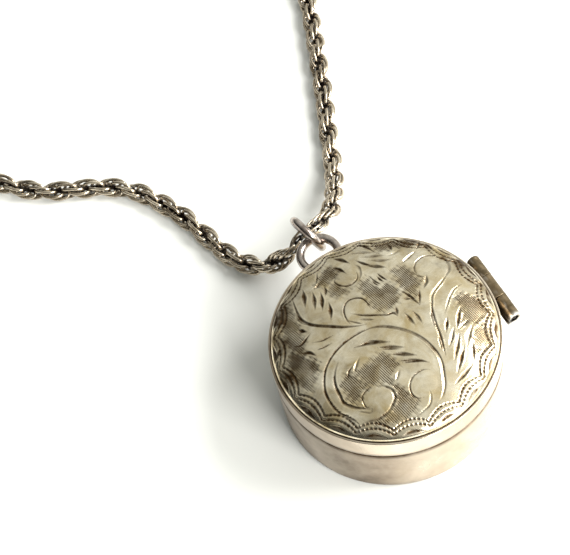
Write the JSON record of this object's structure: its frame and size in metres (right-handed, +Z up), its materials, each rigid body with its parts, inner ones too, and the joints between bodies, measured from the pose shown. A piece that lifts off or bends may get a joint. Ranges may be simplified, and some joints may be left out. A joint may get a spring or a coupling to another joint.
{
  "type": "pill box pendant",
  "caption": "Round hinged pill box with an engraved domed lid, hanging from a bail and jump ring on a rope-chain necklace with a bolt-ring clasp.",
  "frame": {"origin": "centre of the base plate's underside, where the box stands", "axes": "+Z up through the lid, +X towards the lid's hinge, +Y towards the bail"},
  "size_m": [0.0613, 0.1331, 0.015],
  "materials": {
    "wall_silver": "worn satin sterling silver, warm, with fine rub marks",
    "dome_silver": "engraved sterling silver with brown-olive tarnish in the cuts and hatched grounds",
    "hinge_silver": "heavily tarnished silver, brown",
    "inside_silver": "plain satin silver",
    "wire_silver": "drawn silver wire, lightly tarnished",
    "chain_silver": "rope chain of small silver links, dark between the links",
    "spring_steel": "spring steel wire"
  },
  "bodies": {
    "base": {"base_wall": "wall_silver", "base_plate": "inside_silver", "inner_collar": "inside_silver", "base_hinge_bearer": "hinge_silver", "hinge_knuckle_front": "hinge_silver", "hinge_knuckle_back": "hinge_silver", "hinge_pin": "wire_silver", "bail": "wire_silver", "chain_left_run": "chain_silver", "chain_left_coil": "chain_silver", "chain_left_tail": "chain_silver", "chain_upper_run": "chain_silver", "chain_upper_coil": "chain_silver", "chain_upper_tail": "chain_silver", "left_end_cap": "wire_silver", "left_link_ring": "wire_silver", "clasp_body": "wire_silver", "clasp_spring": "spring_steel", "upper_end_cap": "wire_silver", "catch_ring": "wire_silver"},
    "lid": {"lid_rim": "wall_silver", "lid_dome": "dome_silver", "lid_hinge_bearer": "hinge_silver", "hinge_knuckle_lid": "hinge_silver"},
    "jump_ring": {"jump_ring": "wire_silver"},
    "clasp_bolt": {"clasp_bolt": "wire_silver"}
  },
  "joints": [
    {"name": "lid_hinge", "type": "hinge", "parent": "base", "child": "lid", "pos_m": [0.0153, 0, 0.0088], "axis": [0, 1, 0], "range_deg": [0, 110]},
    {"name": "jump_ring_swing", "type": "hinge", "parent": "base", "child": "jump_ring", "pos_m": [-0.00015, 0.0192, 0.0079], "axis": [0.939, 0.208, 0.274], "range_deg": [-40, 0]},
    {"name": "clasp_bolt_slide", "type": "hinge", "parent": "base", "child": "clasp_bolt", "pos_m": [-0.02102, 0.10135, 0.00075], "axis": [0, 0, 1], "range_deg": [0, 44], "stiffness_Nm_per_rad": 0.0002, "springref_deg": -17.19, "deforming": ["clasp_spring"]}
  ]
}
